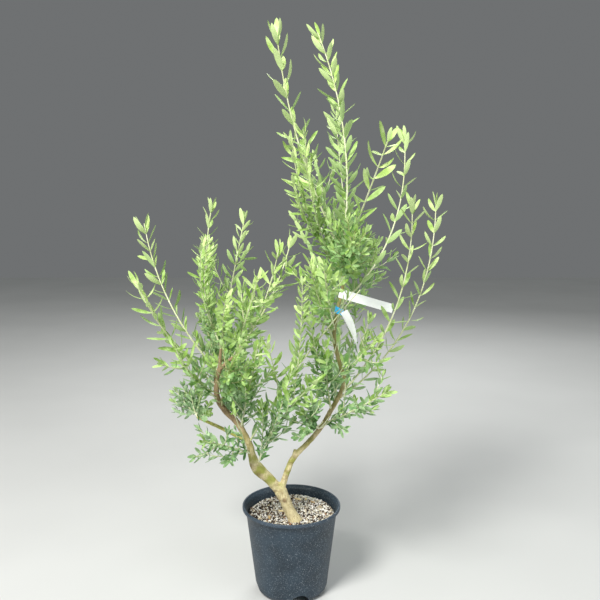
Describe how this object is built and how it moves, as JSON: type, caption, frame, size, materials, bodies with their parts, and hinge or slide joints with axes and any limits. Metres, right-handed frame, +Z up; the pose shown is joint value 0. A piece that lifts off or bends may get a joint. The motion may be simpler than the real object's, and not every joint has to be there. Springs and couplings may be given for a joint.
{
  "type": "potted olive tree",
  "caption": "Young olive tree with a leaning trunk, forked boughs and upright plumes of narrow leaves, in a plain tapered nursery pot filled with gritty soil.",
  "frame": {"origin": "middle of the pot's flat underside, on the surface that the pot stands on", "axes": "+Z up, +Y towards the back of the tree, +X to the right as seen from its front"},
  "size_m": [0.7521, 0.6044, 1.3596],
  "materials": {
    "pot": "moulded matte dark slate plastic, dusty",
    "soil": "loose pumice grit and dark compost",
    "trunk_bark": "smooth young yellowish tan bark",
    "bough_bark": "thin brown-green bark",
    "label": "blank white plant label",
    "label_clip": "blank blue label head",
    "foliage": "leathery leaves, bright green above and silvery below, on pale stems",
    "foliage_inner": "older, darker inner leaves"
  },
  "bodies": {
    "root": {"pot": "pot", "soil": "soil", "trunk": "trunk_bark", "left_bough": "bough_bark", "left_leader": "bough_bark", "left_arm": "bough_bark", "side_branch": "bough_bark", "right_bough": "bough_bark", "right_leader": "bough_bark", "label_strip": "label", "label_clip": "label_clip", "label_tail": "label", "left_edge_plume": "foliage", "left_high_plume": "foliage", "left_low_plume": "foliage", "left_crest": "foliage", "left_inner_plume": "foliage", "left_mid_front_plume": "foliage", "left_mid_plume": "foliage", "left_mid_back_plume": "foliage", "left_heart_front": "foliage_inner", "left_heart_back": "foliage_inner", "left_heart_far": "foliage_inner", "left_heart_low": "foliage_inner", "left_rising_plume": "foliage", "middle_plume": "foliage", "left_upright_plume": "foliage", "left_upright_back_plume": "foliage", "left_lowest_plume": "foliage", "left_far_tuft": "foliage", "right_tallest_plume": "foliage", "right_tall_plume": "foliage", "right_front_tall_plume": "foliage", "right_near_plume": "foliage", "right_back_plume": "foliage", "right_outer_plume": "foliage", "right_edge_plume": "foliage", "right_elbow_plume": "foliage", "right_mid_plume": "foliage", "right_inner_back_plume": "foliage", "right_inner_front_plume": "foliage", "right_low_plume": "foliage", "right_lowest_plume": "foliage", "right_heart_back": "foliage_inner", "right_heart_far": "foliage_inner", "right_low_back": "foliage", "right_side_back": "foliage", "right_heart_front": "foliage_inner", "right_side_front": "foliage", "right_high_back": "foliage"}
  },
  "joints": []
}
